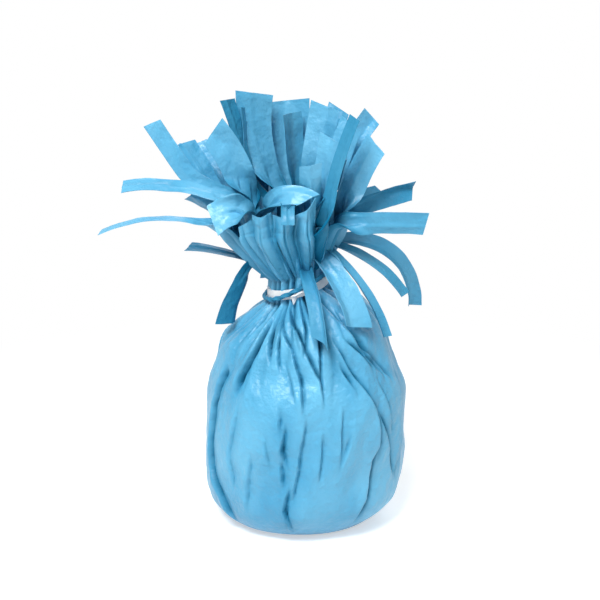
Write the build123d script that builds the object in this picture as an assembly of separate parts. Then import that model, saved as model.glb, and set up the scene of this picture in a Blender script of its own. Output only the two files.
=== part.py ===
"""Balloon weight: a bag of sand wrapped in two gathered film sheets, tied at the neck, with a cut fringe.

Millimetres, +Z up.  The origin is the centre of the flat base, -Y is the front and +X is to the right.
"""

import os
from math import asin, atan, cos, degrees, hypot, pi, radians, sin

from build123d import *

# Outside of the wrapped weight
BODY_RADIUS = 32.0
BASE_FLAT_RADIUS = 17.0
BASE_ROUND_HEIGHT = 16.0
SHOULDER_HEIGHT = 46.0
NECK_BOTTOM = 77.0
NECK_RADIUS = 9.3
NECK_HEIGHT = 7.0
NECK_LEAN = 3.0
NECK_TILT = 0.3
RIM_TILT_SHARE = 0.25

# Flared collars above the neck, before the fringe is cut
OUTER_RIM_RADIUS = 20.0
OUTER_COLLAR_HEIGHT = 15.0
INNER_RIM_RADIUS = 16.0
INNER_COLLAR_HEIGHT = 22.0
RIM_LEAN = 7.5

# Film and the room left between pieces
FILM = 0.4
PLY_GAP = 0.3
SEAT_GAP = 0.3

# Gathered pleats: how deep the valleys are, how many there are and how unevenly they fall
BODY_PLEAT_DEPTH = 1.3
NECK_PLEAT_DEPTH = 2.2
RIM_PLEAT_DEPTH = 2.6
PLEATS = 18
PLEAT_SHIFT_SHARE = 0.16
PLEAT_UNEVEN_SHARE = 0.3
PEAK_BEAT = 2.4
VALLEY_BEAT = 1.9
DEPTH_BEAT = 1.7

# Sand and its bag
BAG_FILM = 0.25
SAND_HEIGHT = 43.0
SAND_CROWN = 3.5

# Twist tie round the neck, and the twisted strand of film wound over it
TIE_WIDTH = 3.0
TIE_THICKNESS = 0.6
TIE_FIT = 0.1
TIE_RISE = 2.4
TIE_SLOPE = 0.25
TIE_TAIL_LENGTH = 7.0
TIE_TAIL_WIDTH = 2.4
TIE_TAIL_AZIMUTH = -66.0
TIE_TAIL_RISES = (-10.0, -50.0)
STRAND_WIDTH = 1.4
STRAND_THICKNESS = 0.8
STRAND_SLOPE = 0.5

# Fringe strips
STRIP_WIDTH = 7.6
OUTER_STRIP_LENGTH = 42.0
INNER_STRIP_LENGTH = 35.0
STRIP_SPANS = 6
TWIST_RUN_SHARE = 0.35
ROOT_WIDTH_SHARE = 0.55
HANGING_ROOT_WIDTH = 3.4

# Shares of the height of the round base, the dome and the collar at which the wrap's sections lie
BASE_TURNS = 4
DOME_SHARES = (0.0, 0.3, 0.55, 0.75, 0.9, 1.0)
SMOOTH_DOME_SHARE = 0.55
DOME_POWER = 2.5
DOME_SOFTNESS = 0.9
COLLAR_SHARES = (0.45, 1.0)
COLLAR_POWER = 0.9
HEAP_SHARES = (0.3, 0.6, 0.85)
THROAT_SHARE = 0.88

# Strips of the outer sheet: azimuth of the root, heading, rise at the root and at the tip, length share,
# width share and twist.  Angles are in degrees and azimuth 0 is to the right.
OUTER_STRIPS = (
    (-166, 180, 25, -26, 1.00, 0.70, 0),
    (172, 178, 60, 20, 0.38, 0.90, 60),
    (144, 152, 66, 42, 0.70, 1.20, -35),
    (119, 170, 84, 80, 0.86, 1.10, -80),
    (85, 95, 85, 80, 0.86, 1.20, 0),
    (58, 40, 78, 66, 0.82, 1.00, 40),
    (43, 28, 14, 6, 0.52, 0.90, 40),
    (20, 8, 22, 12, 0.62, 0.80, 75),
    (-24, -4, 8, -4, 0.67, 0.95, 75),
    (-2, 0, 76, 58, 0.65, 1.00, 90),
    (-46, 40, 86, 68, 0.90, 0.75, 30),
    (-68, -80, 84, 76, 0.22, 0.85, 0),
    (-90, -90, 82, 76, 0.20, 0.85, 0),
    (-111, -104, 80, 66, 0.30, 0.85, 0),
    (-132, -138, 80, 70, 0.18, 0.75, 0),
    (159, 168, 66, 56, 0.71, 0.75, -65),
    (106, 112, 42, -25, 0.95, 0.80, 0),
    (70, 72, 34, -25, 0.90, 0.60, 0),
)

# Strips of the inner sheet, in the same order of values
INNER_STRIPS = (
    (-166, 178, 32, -12, 1.12, 0.75, -30),
    (172, 178, 15, 70, 1.13, 0.75, -90),
    (150, 175, 80, 50, 0.72, 1.30, -80),
    (126, 178, 76, 68, 0.97, 0.90, -45),
    (98, 162, 78, 74, 0.98, 1.30, -70),
    (73, 84, 86, 84, 0.74, 1.20, 0),
    (50, 30, 82, 78, 0.82, 1.10, 60),
    (30, 10, 62, 52, 0.86, 0.90, 75),
    (8, 12, 76, 68, 0.72, 1.00, 75),
    (-14, -20, 82, 74, 0.50, 0.90, 40),
    (-53, -90, 84, 76, 0.42, 0.90, 0),
    (-84, -90, 62, -80, 0.36, 0.55, 0),
    (-112, -20, 74, -22, 0.52, 0.90, 45),
    (-140, -172, 30, -40, 0.42, 1.30, -60),
    (-34, 20, 84, 78, 0.62, 0.95, 55),
)

# Strips cut down to the tie: azimuth, root's share of the collar's height, reach beyond the root as a
# share of the body radius, drop below the root as a share of the neck's height above the base, bulge
# share of the chord, tip width share and twist
HANGING_STRIPS = (
    (-74, 0.14, 0.55, 0.24, 0.12, 0.95, 0),
    (-45, 0.22, 0.46, 0.24, 0.10, 1.00, 0),
    (-25, 0.30, 0.60, 0.33, 0.08, 0.50, 0),
    (-2, 0.35, 0.70, 0.21, 0.10, 0.60, 0),
    (21, 0.35, 0.90, 0.32, 0.24, 0.80, 30),
    (62, 0.27, 0.58, 0.26, 0.14, 0.95, 0),
    (104, 0.16, 0.80, 0.18, 0.18, 0.90, 0),
    (165, 0.30, 0.70, -0.085, 0.12, 0.70, 0),
    (188, 0.35, 0.25, 0.25, 0.10, 0.95, 55),
)


# Lofts with flat facets

def facet(*corners):
    """A flat face through its corners."""
    return Face(Wire(Polyline(*corners, close=True).edges()))


def faceted(rings):
    """The solid lofted through a row of rings of points, in flat triangles, with a flat cap at each end.

    Facing walls split along the same diagonal, so that a thin strip keeps its thickness as it twists.
    """
    faces = [facet(*reversed(rings[0])), facet(*rings[-1])]
    for low, high in zip(rings, rings[1:]):
        for corner in range(len(low)):
            after = (corner + 1) % len(low)
            if corner < len(low) / 2:
                faces.append(facet(low[corner], low[after], high[after]))
                faces.append(facet(low[corner], high[after], high[corner]))
            else:
                faces.append(facet(low[corner], low[after], high[corner]))
                faces.append(facet(low[after], high[after], high[corner]))
    return Solid(Shell(faces))


# Wrapped sheets

def dome_radius(share, foot, top):
    """Radius of the shoulder dome, from the foot at share 0 to the neck at share 1."""
    return top + (foot - top) * max(0.0, 1.0 - share ** DOME_POWER) ** DOME_SOFTNESS


def collar_radius(share, rim_radius):
    """Radius of a collar's peaks, from the neck at share 0 to the rim at share 1."""
    return NECK_RADIUS + (rim_radius - NECK_RADIUS) * share ** COLLAR_POWER


def blend(start, end, share):
    """The value a share of the way from start to end."""
    return start + (end - start) * share


def collar_slope(share):
    """Slope of a collar's section up to the right, from the tilted neck to the nearly level rim."""
    return NECK_TILT * blend(1.0, RIM_TILT_SHARE, share)


def body_pleat_depth(radius):
    """Depth of the body's pleats at a radius: they run out with it, so that their flats stay flat."""
    return BODY_PLEAT_DEPTH * radius / BODY_RADIUS


def wrap_stations(inset, rim_radius, collar_height):
    """Sections of a sheet as (height, peak radius, pleat depth, lean, slope), from the base to its rim."""
    foot = BODY_RADIUS - inset
    neck = NECK_RADIUS - inset
    neck_top = NECK_BOTTOM + NECK_HEIGHT
    stations = []
    for turn in range(BASE_TURNS + 1):
        angle = turn / BASE_TURNS * pi / 2
        radius = BASE_FLAT_RADIUS + (foot - BASE_FLAT_RADIUS) * sin(angle)
        height = inset + (BASE_ROUND_HEIGHT - inset) * (1 - cos(angle))
        stations.append((height, radius, body_pleat_depth(radius), 0.0, 0.0))
    for share in DOME_SHARES:
        radius = dome_radius(share, foot, neck)
        gathered = max(0.0, share - SMOOTH_DOME_SHARE) / (1 - SMOOTH_DOME_SHARE)
        stations.append((
            blend(SHOULDER_HEIGHT, NECK_BOTTOM - inset, share),
            radius,
            blend(body_pleat_depth(radius), NECK_PLEAT_DEPTH, gathered),
            NECK_LEAN * share,
            NECK_TILT * share ** 2,
        ))
    stations.append((neck_top, neck, NECK_PLEAT_DEPTH, NECK_LEAN, NECK_TILT))
    for share in COLLAR_SHARES:
        stations.append((
            neck_top + collar_height * share,
            collar_radius(share, rim_radius) - inset,
            blend(NECK_PLEAT_DEPTH, RIM_PLEAT_DEPTH, share),
            blend(NECK_LEAN, RIM_LEAN, share),
            collar_slope(share),
        ))
    return stations


def pleated_ring(height, radius, depth=0.0, lean=0.0, slope=0.0):
    """Corners of a zigzag round the axis: peaks at the radius and uneven valleys between them."""
    points = []
    for pleat in range(PLEATS):
        peak = 360 / PLEATS * (pleat + PLEAT_SHIFT_SHARE * sin(PEAK_BEAT * pleat))
        valley = 360 / PLEATS * (pleat + 0.5 + PLEAT_SHIFT_SHARE * sin(VALLEY_BEAT * pleat + 1))
        fold = radius - depth * (1 - PLEAT_UNEVEN_SHARE * (0.5 + 0.5 * sin(DEPTH_BEAT * pleat)))
        for angle, reach in ((peak, radius), (valley, fold)):
            across = reach * cos(radians(angle))
            points.append((across - lean, reach * sin(radians(angle)), height + slope * across))
    return points


def lofted(stations):
    """The solid through a row of sections round the axis."""
    return faceted([pleated_ring(*station) for station in stations])


def sheet(inset, rim_radius, collar_height):
    """One gathered sheet: up its outside to the open rim and back down one film further in."""
    outside = wrap_stations(inset, rim_radius, collar_height)
    inside = wrap_stations(inset + FILM, rim_radius, collar_height)
    return lofted(outside + inside[::-1])


# Sand and its bag

def facet_sag(radius):
    """How far a flat between two pleats can lie inside the circle through them."""
    return radius * (1 - cos(pi / PLEATS))


def pouch_stations(inset):
    """Sections of the pouch as height and radius, from its floor to the top of its side."""
    lining = 2 * (FILM + PLY_GAP)
    floor = lining + inset
    foot = BASE_FLAT_RADIUS - lining - BODY_PLEAT_DEPTH - inset
    side = BODY_RADIUS - lining - BODY_PLEAT_DEPTH - facet_sag(BODY_RADIUS) - inset
    stations = []
    for turn in range(BASE_TURNS + 1):
        angle = turn / BASE_TURNS * pi / 2
        stations.append((
            floor + (BASE_ROUND_HEIGHT - floor) * (1 - cos(angle)),
            foot + (side - foot) * sin(angle),
        ))
    stations.append((SAND_HEIGHT, side))
    return stations


def sand_fill():
    """The sand, filling the pouch and heaped a little in the middle."""
    stations = pouch_stations(BAG_FILM)
    side = stations[-1][1]
    for share in HEAP_SHARES:
        stations.append((SAND_HEIGHT + SAND_CROWN * sin(share * pi / 2), side * (1 - share)))
    return lofted(stations)


def bag_tail_radius():
    """The bag's gathered tail fills the neck inside both sheets."""
    return NECK_RADIUS - 2 * (FILM + PLY_GAP) - NECK_PLEAT_DEPTH - facet_sag(NECK_RADIUS)


def bag_stations(inset):
    """Sections of the bag: the pouch, then the film drawn in over the sand to the neck."""
    throat = blend(SAND_HEIGHT, NECK_BOTTOM, THROAT_SHARE)
    return pouch_stations(inset) + [(throat, bag_tail_radius() - inset, 0.0, NECK_LEAN)]


def sand_bag():
    """Film round the sand, drawn in above it to a tail that the tie closes."""
    tail = (NECK_BOTTOM + NECK_HEIGHT, bag_tail_radius(), 0.0, NECK_LEAN)
    return lofted(bag_stations(0.0) + [tail]) - lofted(bag_stations(BAG_FILM))


# Ties round the neck

def neck_band(bore, thickness, width, height, slope=0.0):
    """A flat band round the neck, level or sloping up to the right."""
    low = height - width / 2
    high = height + width / 2
    outer = bore + thickness
    outside = lofted([(low, outer, 0.0, NECK_LEAN, slope), (high, outer, 0.0, NECK_LEAN, slope)])
    inside = lofted([
        (low - width, bore, 0.0, NECK_LEAN, slope),
        (high + width, bore, 0.0, NECK_LEAN, slope),
    ])
    return outside - inside


def tie_radius():
    """Outer radius of the twist tie."""
    return NECK_RADIUS + TIE_FIT + TIE_THICKNESS


def twist_tie():
    """Paper band round the neck, with its two ends pressed together into a flat tail."""
    height = NECK_BOTTOM + TIE_RISE
    band = neck_band(NECK_RADIUS + TIE_FIT, TIE_THICKNESS, TIE_WIDTH, height, TIE_SLOPE)
    seat = tie_radius() - TIE_THICKNESS / 2
    across = seat * cos(radians(TIE_TAIL_AZIMUTH))
    root = Vector(
        across - NECK_LEAN, seat * sin(radians(TIE_TAIL_AZIMUTH)), height + TIE_SLOPE * across
    )
    tail = ribbon(
        root,
        TIE_TAIL_AZIMUTH,
        *TIE_TAIL_RISES,
        TIE_TAIL_LENGTH,
        TIE_TAIL_WIDTH,
        TIE_TAIL_WIDTH,
        TIE_THICKNESS,
    )
    return band + tail


def neck_strand():
    """A strip of film twisted to a strand and wound round the neck over the tie."""
    return neck_band(
        tie_radius() + TIE_FIT,
        STRAND_THICKNESS,
        STRAND_WIDTH,
        NECK_BOTTOM + NECK_HEIGHT / 2,
        STRAND_SLOPE,
    )


# Fringe strips

def heading_vector(heading, rise):
    """Unit vector of a compass heading and a rise above the horizon, in degrees."""
    level = cos(radians(rise))
    return Vector(
        level * cos(radians(heading)), level * sin(radians(heading)), sin(radians(rise))
    )


def ribbon(
    root, heading, start_rise, end_rise, length, root_width, tip_width, thickness, twist=0.0
):
    """A strip that bends evenly from its rise at the root to that at the tip, twisting near its root."""
    level = Vector(-sin(radians(heading)), cos(radians(heading)), 0)
    point = root
    rings = []
    for span in range(STRIP_SPANS + 1):
        share = span / STRIP_SPANS
        along = heading_vector(heading, blend(start_rise, end_rise, share))
        across = level.rotate(Axis((0, 0, 0), along), twist * min(1.0, share / TWIST_RUN_SHARE))
        side = across * (blend(root_width, tip_width, share) / 2)
        face = along.cross(across) * (thickness / 2)
        rings.append([point - side - face, point + side - face, point + side + face, point - side + face])
        middle_rise = blend(start_rise, end_rise, share + 1 / STRIP_SPANS / 2)
        point = point + heading_vector(heading, middle_rise) * (length / STRIP_SPANS)
    return faceted(rings)


def rim_strips(table, rim_radius, collar_height, inset, full_length):
    """The strips that stand on one sheet's rim, as ribbons."""
    rim = NECK_BOTTOM + NECK_HEIGHT + collar_height
    seat_radius = rim_radius - inset - RIM_PLEAT_DEPTH / 2
    strips = []
    for azimuth, heading, start_rise, end_rise, length_share, width_share, twist in table:
        width = STRIP_WIDTH * width_share
        across = seat_radius * cos(radians(azimuth))
        root = Vector(
            across - RIM_LEAN,
            seat_radius * sin(radians(azimuth)),
            rim + collar_slope(1.0) * across + SEAT_GAP + FILM / 2,
        )
        strips.append(ribbon(
            root,
            heading,
            start_rise,
            end_rise,
            full_length * length_share,
            width * ROOT_WIDTH_SHARE,
            width,
            FILM,
            twist,
        ))
    return strips


def hanging_root(azimuth, root_share):
    """Where a hanging strip leaves the gathers, above the ties and clear of the collar's peaks."""
    reach = max(collar_radius(root_share, OUTER_RIM_RADIUS), tie_radius()) + SEAT_GAP + FILM / 2
    across = reach * cos(radians(azimuth))
    height = NECK_BOTTOM + NECK_HEIGHT + OUTER_COLLAR_HEIGHT * root_share
    return Vector(
        across - blend(NECK_LEAN, RIM_LEAN, root_share),
        reach * sin(radians(azimuth)),
        height + collar_slope(root_share) * across,
    )


def hanging_strip(azimuth, root_share, reach_share, drop_share, bulge_share, width_share, twist):
    """A strip that leaves the neck and bends over as one arc to its tip."""
    across = BODY_RADIUS * reach_share
    down = NECK_BOTTOM * drop_share
    chord = hypot(across, down)
    chord_rise = -degrees(asin(down / chord))
    half_turn = 2 * atan(2 * bulge_share)
    return ribbon(
        hanging_root(azimuth, root_share),
        azimuth,
        chord_rise + degrees(half_turn),
        chord_rise - degrees(half_turn),
        chord * half_turn / sin(half_turn),
        HANGING_ROOT_WIDTH,
        STRIP_WIDTH * width_share,
        FILM,
        twist,
    )


# Assembly

def build():
    """Every piece by name."""
    inner_inset = FILM + PLY_GAP
    pieces = {
        "sand_fill": sand_fill(),
        "sand_bag": sand_bag(),
        "inner_wrap": sheet(inner_inset, INNER_RIM_RADIUS, INNER_COLLAR_HEIGHT),
        "outer_wrap": sheet(0.0, OUTER_RIM_RADIUS, OUTER_COLLAR_HEIGHT),
        "twist_tie": twist_tie(),
        "neck_strand": neck_strand(),
    }
    outer = rim_strips(
        OUTER_STRIPS, OUTER_RIM_RADIUS, OUTER_COLLAR_HEIGHT, FILM / 2, OUTER_STRIP_LENGTH
    )
    inner = rim_strips(
        INNER_STRIPS, INNER_RIM_RADIUS, INNER_COLLAR_HEIGHT, inner_inset, INNER_STRIP_LENGTH
    )
    hanging = [hanging_strip(*row) for row in HANGING_STRIPS]
    for family, strips in (("outer", outer), ("inner", inner), ("hanging", hanging)):
        for number, strip in enumerate(strips, start=1):
            pieces[f"{family}_strip_{number:02d}"] = strip
    return pieces


def main():
    os.makedirs("parts", exist_ok=True)
    for name, piece in build().items():
        export_step(piece, f"parts/{name}.step")


if __name__ == "__main__":
    main()
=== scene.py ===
"""Balloon weight, dressed: gathered blue film round a bag of sand, a tied neck and a burst of cut strips."""

from math import asin, atan, cos, degrees, hypot, inf, pi, radians, sin

import bpy
import numpy as np
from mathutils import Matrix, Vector


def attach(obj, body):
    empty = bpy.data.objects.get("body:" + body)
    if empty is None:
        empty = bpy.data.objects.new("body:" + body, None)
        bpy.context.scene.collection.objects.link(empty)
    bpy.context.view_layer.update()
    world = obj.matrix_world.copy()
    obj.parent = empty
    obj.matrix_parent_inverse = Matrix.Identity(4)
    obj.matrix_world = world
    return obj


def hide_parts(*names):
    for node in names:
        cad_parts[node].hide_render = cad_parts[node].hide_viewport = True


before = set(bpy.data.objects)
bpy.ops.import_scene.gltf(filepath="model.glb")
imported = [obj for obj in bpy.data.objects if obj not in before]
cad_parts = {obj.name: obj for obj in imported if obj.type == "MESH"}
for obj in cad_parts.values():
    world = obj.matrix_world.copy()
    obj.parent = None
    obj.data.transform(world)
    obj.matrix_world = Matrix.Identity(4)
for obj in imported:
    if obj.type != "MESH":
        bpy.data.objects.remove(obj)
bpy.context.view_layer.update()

MM = 0.001
TINY = 1e-9

# Sizes of the wraps in millimetres, as in the solids
BODY_RADIUS = 32.0
BASE_FLAT = 17.0
BASE_ROUND = 16.0
SHOULDER = 46.0
NECK_BOTTOM = 77.0
NECK_RADIUS = 9.3
NECK_HEIGHT = 7.0
NECK_TOP = NECK_BOTTOM + NECK_HEIGHT
NECK_LEAN = 3.0
RIM_LEAN = 7.5
OUTER_RIM = 20.0
OUTER_COLLAR = 15.0
INNER_RIM = 16.0
INNER_COLLAR = 22.0
NECK_TILT = 0.3
RIM_TILT_SHARE = 0.25

# Sizes of the film and its strips in millimetres
FILM = 0.16
STRIP_WIDTH = 7.6
OUTER_LENGTH = 42.0
INNER_LENGTH = 35.0
TWIST_RUN_SHARE = 0.35
USUAL_TUCK = 3.0

# Strips of the outer sheet: azimuth, heading, rise at root and tip, length share, width share and twist, then
# looks: cup, lengthwise fold and slant of the cut end
OUTER_STRIPS = (
    (-166, 180, 25, -26, 1.00, 0.50, -6, 0.2, 0.0, 0.3),
    (172, 178, 60, 20, 0.38, 0.90, 60, 0.1, 0.0, -0.3),
    (144, 152, 66, 42, 0.70, 1.20, -35, 0.1, 0.1, 0.4),
    (119, 165, 88, 86, 0.84, 1.40, -30, 0.1, 0.1, 0.2),
    (85, 90, 85, 80, 0.86, 1.75, 0, 0.1, 0.1, -0.1),
    (58, 40, 78, 66, 0.82, 1.00, 40, 0.1, 0.0, 0.3),
    (43, 28, 14, 6, 0.52, 0.90, 40, 0.1, 0.1, -0.3),
    (20, 8, 22, 12, 0.62, 0.80, 100, 0.1, 0.1, 0.4),
    (-24, -4, 8, -4, 0.67, 0.95, 100, 0.1, 0.15, 0.2),
    (-2, 0, 76, 58, 0.65, 1.10, 62, 0.1, 0.0, 0.3),
    (-46, 24, 84, 64, 0.88, 0.55, 40, 0.1, 0.1, 0.2),
    (-68, -80, 84, 80, 0.22, 0.85, 0, 0.2, 0.3, 0.9),
    (-90, -90, 82, 80, 0.17, 0.85, 0, 0.2, 0.3, -0.2),
    (-111, -104, 80, 72, 0.19, 0.85, 0, 0.2, 0.3, 0.3),
    (-132, -138, 80, 70, 0.10, 0.85, 0, 0.2, 0.3, 0.5),
    (159, 168, 66, 56, 0.71, 0.75, -65, 0.1, 0.1, 0.3),
    (106, 112, 42, -25, 0.95, 0.80, 0, 0.2, 0.0, 0.2),
    (70, 72, 34, -25, 0.90, 0.60, 0, 0.2, 0.1, -0.2),
)

# Strips of the inner sheet, with the same columns
INNER_STRIPS = (
    (-166, 178, 32, -12, 1.12, 0.75, -30, 0.2, 0.0, 0.1),
    (172, 178, 15, 70, 1.13, 0.75, -70, 0.1, 0.0, 0.2),
    (150, 175, 80, 50, 0.72, 1.30, -80, 0.1, 0.1, -0.3),
    (126, 178, 72, 74, 0.95, 0.85, -45, 0.1, 0.1, 0.2),
    (98, 165, 58, 95, 0.98, 1.62, -70, 0.1, 0.2, 0.1),
    (73, 140, 86, 82, 0.74, 1.25, 0, 0.1, 0.1, 0.0),
    (50, 30, 82, 78, 0.82, 1.25, 60, 0.1, 0.0, 0.2),
    (30, 10, 62, 52, 0.86, 0.90, 75, 0.1, 0.0, 0.2),
    (8, 12, 76, 68, 0.72, 1.00, 75, 0.1, 0.1, 0.3),
    (-14, -20, 82, 74, 0.50, 1.35, 80, 0.2, 0.2, 0.2),
    (-53, -90, 84, 76, 0.42, 0.90, 0, 0.2, 0.2, 0.2),
    (-84, -90, 62, -80, 0.36, 0.55, 0, 0.3, 0.0, 0.0),
    (-112, -20, 74, -30, 0.49, 0.90, 45, 0.2, 0.0, 0.6),
    (-140, -172, 18, -42, 0.36, 1.30, -60, 0.1, 0.0, 0.3),
    (-34, 20, 84, 78, 0.62, 0.95, 55, 0.1, 0.1, 0.3),
)

# Strips that leave at the tie: azimuth, root share, reach share, drop share, bulge share, tip width share and
# twist, then the same looks and the width at the root in millimetres
HANGING_STRIPS = (
    (-74, 0.14, 0.55, 0.24, 0.12, 0.70, 50, 0.1, 0.5, 0.9, 4.2),
    (-45, 0.22, 0.46, 0.24, 0.10, 1.30, 0, 0.1, 0.1, 0.3, 8.0),
    (-25, 0.30, 0.60, 0.33, 0.08, 0.50, 0, 0.2, 0.3, 0.2, 3.0),
    (-2, 0.35, 0.70, 0.21, 0.10, 0.60, 35, 0.2, 0.2, 0.2, 3.4),
    (21, 0.35, 0.90, 0.32, 0.24, 0.95, 60, 0.2, 0.2, 0.2, 3.6),
    (62, 0.27, 0.58, 0.26, 0.14, 0.95, 0, 0.2, 0.0, 0.3, 4.0),
    (104, 0.16, 0.80, 0.18, 0.18, 0.90, 0, 0.2, 0.1, 0.2, 4.0),
    (165, 0.30, 0.70, -0.05, 0.06, 0.70, -10, 0.2, 0.1, 0.2, 2.6),
    (188, 0.35, 0.25, 0.25, 0.03, 0.95, 55, 0.1, 0.0, 0.2, 5.0),
)

# Strips that bend sharply: rise before and after the bend, and the shares of the length between which it lies
SHARP_BENDS = {"inner_strip_02": (27, 57, 0.36, 0.56)}

# Hanging strips that are tucked less deep between the pleats, in millimetres, to swing clear of what lies behind
SHORT_TUCKS = {"hanging_strip_04": 1.6, "hanging_strip_05": 1.4, "hanging_strip_08": 1.4}

# Strips with a narrow foot: its width in millimetres
NARROW_FEET = {"inner_strip_04": 3.0, "inner_strip_05": 7.4}

# Strips darkened all over with painted shade, and how much
SHADED_STRIPS = {
    "outer_strip_02": 0.45, "outer_strip_04": 0.3, "outer_strip_05": 0.2, "outer_strip_06": 0.35,
    "outer_strip_07": 0.4, "outer_strip_08": 0.55, "outer_strip_09": 0.25, "outer_strip_11": 0.6,
    "inner_strip_04": 0.6, "inner_strip_05": 0.2, "inner_strip_06": 0.4, "inner_strip_12": 0.3,
    "hanging_strip_01": 0.35, "hanging_strip_03": 0.4, "hanging_strip_04": 0.45, "hanging_strip_05": 0.3,
    "hanging_strip_08": 0.45, "hanging_strip_09": 0.7,
}

# Creases of the body as (azimuth, height) points, with the depth of the slot and the height of the lap over it,
# which is negative where it laps to the left
CREASES = (
    (((-124, 73), (-128, 66), (-136, 57), (-138, 50)), 2.6, 1.2),
    (((-117, 74), (-118, 69), (-115, 63)), 1.8, 0.6),
    (((-146, 77), (-141, 74), (-144, 70)), 1.2, 0.4),
    (((-110, 73), (-98, 66), (-93, 58), (-93, 47)), 1.3, 0.9),
    (((-104, 76), (-93, 70), (-86, 63), (-80, 56)), 2.2, 0.8),
    (((-76, 76), (-72, 70), (-76, 62)), 2.2, -0.8),
    (((-88, 76), (-86, 70), (-90, 64)), 1.8, 0.6),
    (((-78, 66), (-80, 58), (-81, 49)), 1.2, 0.7),
    (((-58, 74), (-52, 68), (-44, 60), (-33, 54)), 3.4, 1.4),
    (((-50, 70), (-42, 62), (-33, 57), (-27, 52)), 2.6, 0.9),
    (((-66, 66), (-57, 56), (-47, 45), (-45, 31)), 1.6, 0.9),
    (((-45, 33), (-49, 28), (-53, 15), (-59, 7)), 2.2, 0.9),
    (((-45, 44), (-35, 30), (-32, 20)), 1.8, 0.7),
    (((-107, 46), (-106, 40)), 1.0, 0.8),
    (((-104, 41), (-105, 34), (-103, 29)), 1.5, 0.9),
    (((-106, 29), (-104, 21)), 1.0, 0.7),
    (((-102, 20), (-104, 13), (-101, 6)), 1.2, 0.8),
    (((-92, 43), (-95, 31), (-99, 17)), 0.6, 0.8),
    (((-82, 38), (-84, 24)), 0.5, 0.7),
    (((-155, 56), (-160, 42), (-157, 22), (-143, 6)), 1.7, 1.0),
    (((-17, 50), (-21, 37), (-29, 19)), 1.3, 0.8),
    (((-124, 30), (-128, 12)), 0.4, 0.6),
    (((-112, 76), (-110, 70), (-107, 60)), 1.4, 0.4),
    (((-100, 62), (-97, 56), (-95, 50)), 0.8, -0.4),
    (((-94, 72), (-90, 66)), 1.2, -0.5),
    (((-66, 60), (-62, 55), (-60, 52)), 1.5, 0.5),
    (((-58, 66), (-50, 62), (-43, 57)), 1.8, 0.5),
    (((-115, 36), (-112, 28)), 0.6, 0.3),
    (((-100, 14), (-101, 6)), 0.7, -0.4),
    (((-64, 38), (-70, 27)), 0.6, -0.5),
    (((-40, 52), (-36, 44), (-34, 36)), 1.0, 0.5),
    (((-134, 44), (-139, 30), (-137, 18)), 0.4, 0.5),
    (((-70, 46), (-72, 30)), 0.5, 0.6),
    (((6, 66), (2, 52)), 1.6, 0.9),
    (((4, 46), (8, 34)), 0.7, 0.7),
    (((3, 26), (1, 12)), 0.9, 0.7),
    (((30, 70), (24, 56)), 1.4, 0.9),
    (((22, 50), (29, 34)), 0.8, 0.8),
    (((32, 24), (26, 8)), 0.6, -0.6),
    (((58, 72), (50, 60), (55, 48)), 1.8, 0.9),
    (((60, 34), (56, 20)), 0.6, 0.6),
    (((75, 60), (82, 46)), 1.2, 0.8),
    (((84, 40), (80, 24)), 0.7, -0.6),
    (((82, 18), (85, 6)), 0.8, 0.6),
    (((98, 44), (104, 26)), 0.8, 0.7),
    (((104, 72), (112, 60), (108, 48)), 2.0, 0.9),
    (((114, 22), (110, 7)), 0.8, 0.7),
    (((130, 66), (136, 52)), 1.4, 0.9),
    (((138, 44), (132, 28)), 0.7, -0.6),
    (((130, 20), (134, 8)), 0.9, 0.7),
    (((160, 68), (168, 54)), 1.5, 0.9),
    (((166, 46), (160, 32)), 0.6, 0.6),
    (((164, 22), (168, 9)), 0.8, 0.7),
)


# Numbers and noise

def blend(a, b, share):
    return a + (b - a) * share


def smooth(low, high, value):
    """0 below low, 1 above high, and a soft step between."""
    t = np.clip((np.asarray(value, float) - low) / (high - low), 0, 1)
    return t * t * (3 - 2 * t)


def swell(height, size, middle, spread):
    """A soft bump of a given size round a middle height."""
    return size * np.exp(-(((height - middle) / spread) ** 2))


def turn_from(centre, azimuth):
    """The turn from a centre to an azimuth, between -180 and 180 degrees."""
    return (azimuth - centre + 180) % 360 - 180


def eased(rows, times):
    """Rows with their kinks rounded off, the first and the last row kept."""
    for _ in range(times):
        rows = rows.copy()
        rows[1:-1] = 0.25 * rows[:-2] + 0.5 * rows[1:-1] + 0.25 * rows[2:]
    return rows


def unit(v):
    """Vectors brought to length 1."""
    return v / np.maximum(np.linalg.norm(v, axis=-1, keepdims=True), TINY)


class Noise:
    """Smooth three-dimensional noise between -1 and 1 from a seed."""

    CELLS = 256
    GAIN = 1.6

    def __init__(self, seed):
        draw = np.random.default_rng(seed)
        self.order = np.concatenate([draw.permutation(self.CELLS)] * 2)
        self.grads = unit(draw.normal(size=(self.CELLS, 3)))

    def __call__(self, points):
        shape = points.shape[:-1]
        p = points.reshape(-1, 3)
        cell = np.floor(p).astype(int)
        f = p - cell
        w = f * f * f * (f * (f * 6 - 15) + 10)
        last = self.CELLS - 1
        cell &= last
        total = np.zeros(len(p))
        for i, j, k in np.ndindex(2, 2, 2):
            a = self.order[(cell[:, 0] + i) & last]
            b = self.order[(a + cell[:, 1] + j) & last]
            c = self.order[(b + cell[:, 2] + k) & last]
            dot = ((f - (i, j, k)) * self.grads[c]).sum(1)
            wx = w[:, 0] if i else 1 - w[:, 0]
            wy = w[:, 1] if j else 1 - w[:, 1]
            wz = w[:, 2] if k else 1 - w[:, 2]
            total += dot * wx * wy * wz
        return (total * self.GAIN).reshape(shape)


FACET_CELLS = 64


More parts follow.
